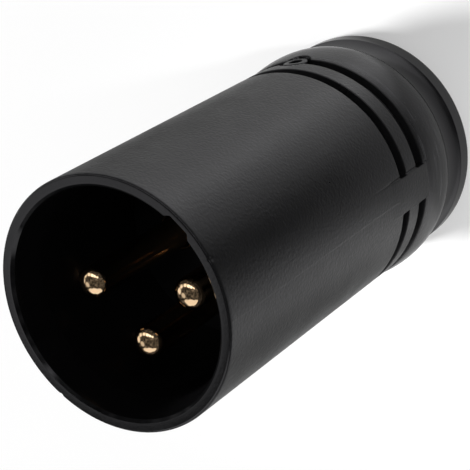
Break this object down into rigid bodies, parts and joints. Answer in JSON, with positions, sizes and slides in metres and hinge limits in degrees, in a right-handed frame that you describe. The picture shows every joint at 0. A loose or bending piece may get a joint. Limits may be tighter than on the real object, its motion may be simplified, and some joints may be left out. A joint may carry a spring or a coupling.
{
  "type": "xlr plug",
  "caption": "Male three-pole audio plug with a round moulded shell, recessed gold pins in a keyed cavity, and a screwed rear bushing that closes a cable chuck.",
  "frame": {"origin": "centre of the rear face, on which the plug stands", "axes": "+Z along the plug's axis, from the rear face to the mouth; +Y towards the plug's top side, opposite the lone bottom pin"},
  "size_m": [0.0196, 0.0196, 0.0374],
  "materials": {
    "shell_plastic": "black moulded plastic with a fine matt grain",
    "insert_plastic": "black moulded plastic",
    "gold": "gold-plated turned brass, polished",
    "chuck_plastic": "dark grey moulded plastic, smooth",
    "bushing_plastic": "black moulded plastic, smooth with a soft gloss"
  },
  "bodies": {
    "plug_body": {"shell": "shell_plastic", "insert": "insert_plastic", "contact_1": "gold", "contact_2": "gold", "contact_3": "gold"},
    "chuck_body": {"chuck": "chuck_plastic"},
    "bushing_body": {"bushing": "bushing_plastic"}
  },
  "joints": [
    {"name": "chuck_slide", "type": "slide", "parent": "plug_body", "child": "chuck_body", "axis": [0, 0, -1], "range_m": [0, 0.005]},
    {"name": "bushing_turn", "type": "hinge", "parent": "chuck_body", "child": "bushing_body", "pos_m": [0, 0, 0.006], "axis": [0, 0, -1], "range_deg": [0, 1440]}
  ],
  "couplings": [
    {"joint": "chuck_slide", "follows": "bushing_turn", "m_per_rad": 0.0001989}
  ]
}
